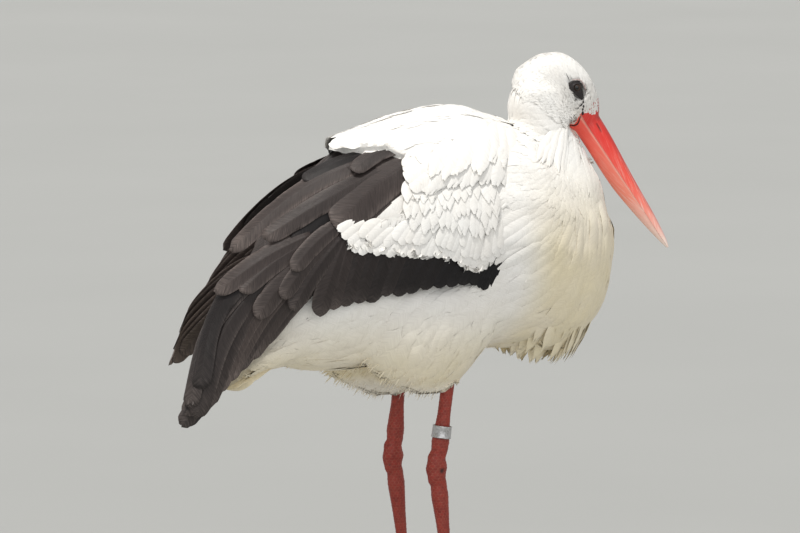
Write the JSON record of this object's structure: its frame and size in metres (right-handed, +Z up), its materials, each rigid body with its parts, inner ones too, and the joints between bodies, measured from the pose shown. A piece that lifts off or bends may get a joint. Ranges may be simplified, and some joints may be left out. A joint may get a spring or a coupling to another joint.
{
  "type": "standing stork model",
  "caption": "Life-size white stork standing at rest with its neck drawn in, black flight feathers, red bill and legs, and a ring on one leg.",
  "frame": {"origin": "on the floor under the middle of the bird's bounding box", "axes": "+X towards the breast, +Y towards the bird's left, +Z up"},
  "size_m": [0.6174, 0.2166, 0.6967],
  "materials": {
    "plumage": "white feathers with a creamy tint below",
    "flight_feathers": "black-brown feathers with a slight sheen",
    "bill": "red horn, satin, paler along the mouth line",
    "leg": "dark red scaly skin",
    "claw": "dull brown horn",
    "eye": "wet dark brown",
    "ring": "scuffed bare metal"
  },
  "bodies": {
    "root": {"trunk": "plumage", "neck": "plumage", "head": "plumage", "tail": "plumage", "thigh_right": "plumage", "thigh_left": "plumage", "wing_right_arm": "plumage", "wing_left_arm": "plumage", "wing_right_coverts": "flight_feathers", "wing_right_tertials": "flight_feathers", "wing_right_secondaries": "flight_feathers", "wing_right_primaries": "flight_feathers", "wing_right_inner_tertials": "flight_feathers", "eye_right": "eye", "shin_right": "leg", "tarsus_right": "leg", "foot_right": "leg", "claw_right_middle": "claw", "claw_right_inner": "claw", "claw_right_outer": "claw", "claw_right_hind": "claw", "wing_left_coverts": "flight_feathers", "wing_left_tertials": "flight_feathers", "wing_left_secondaries": "flight_feathers", "wing_left_primaries": "flight_feathers", "wing_left_inner_tertials": "flight_feathers", "eye_left": "eye", "shin_left": "leg", "tarsus_left": "leg", "foot_left": "leg", "claw_left_middle": "claw", "claw_left_inner": "claw", "claw_left_outer": "claw", "claw_left_hind": "claw", "bill_upper": "bill", "bill_lower": "bill", "leg_ring": "ring"}
  },
  "joints": []
}
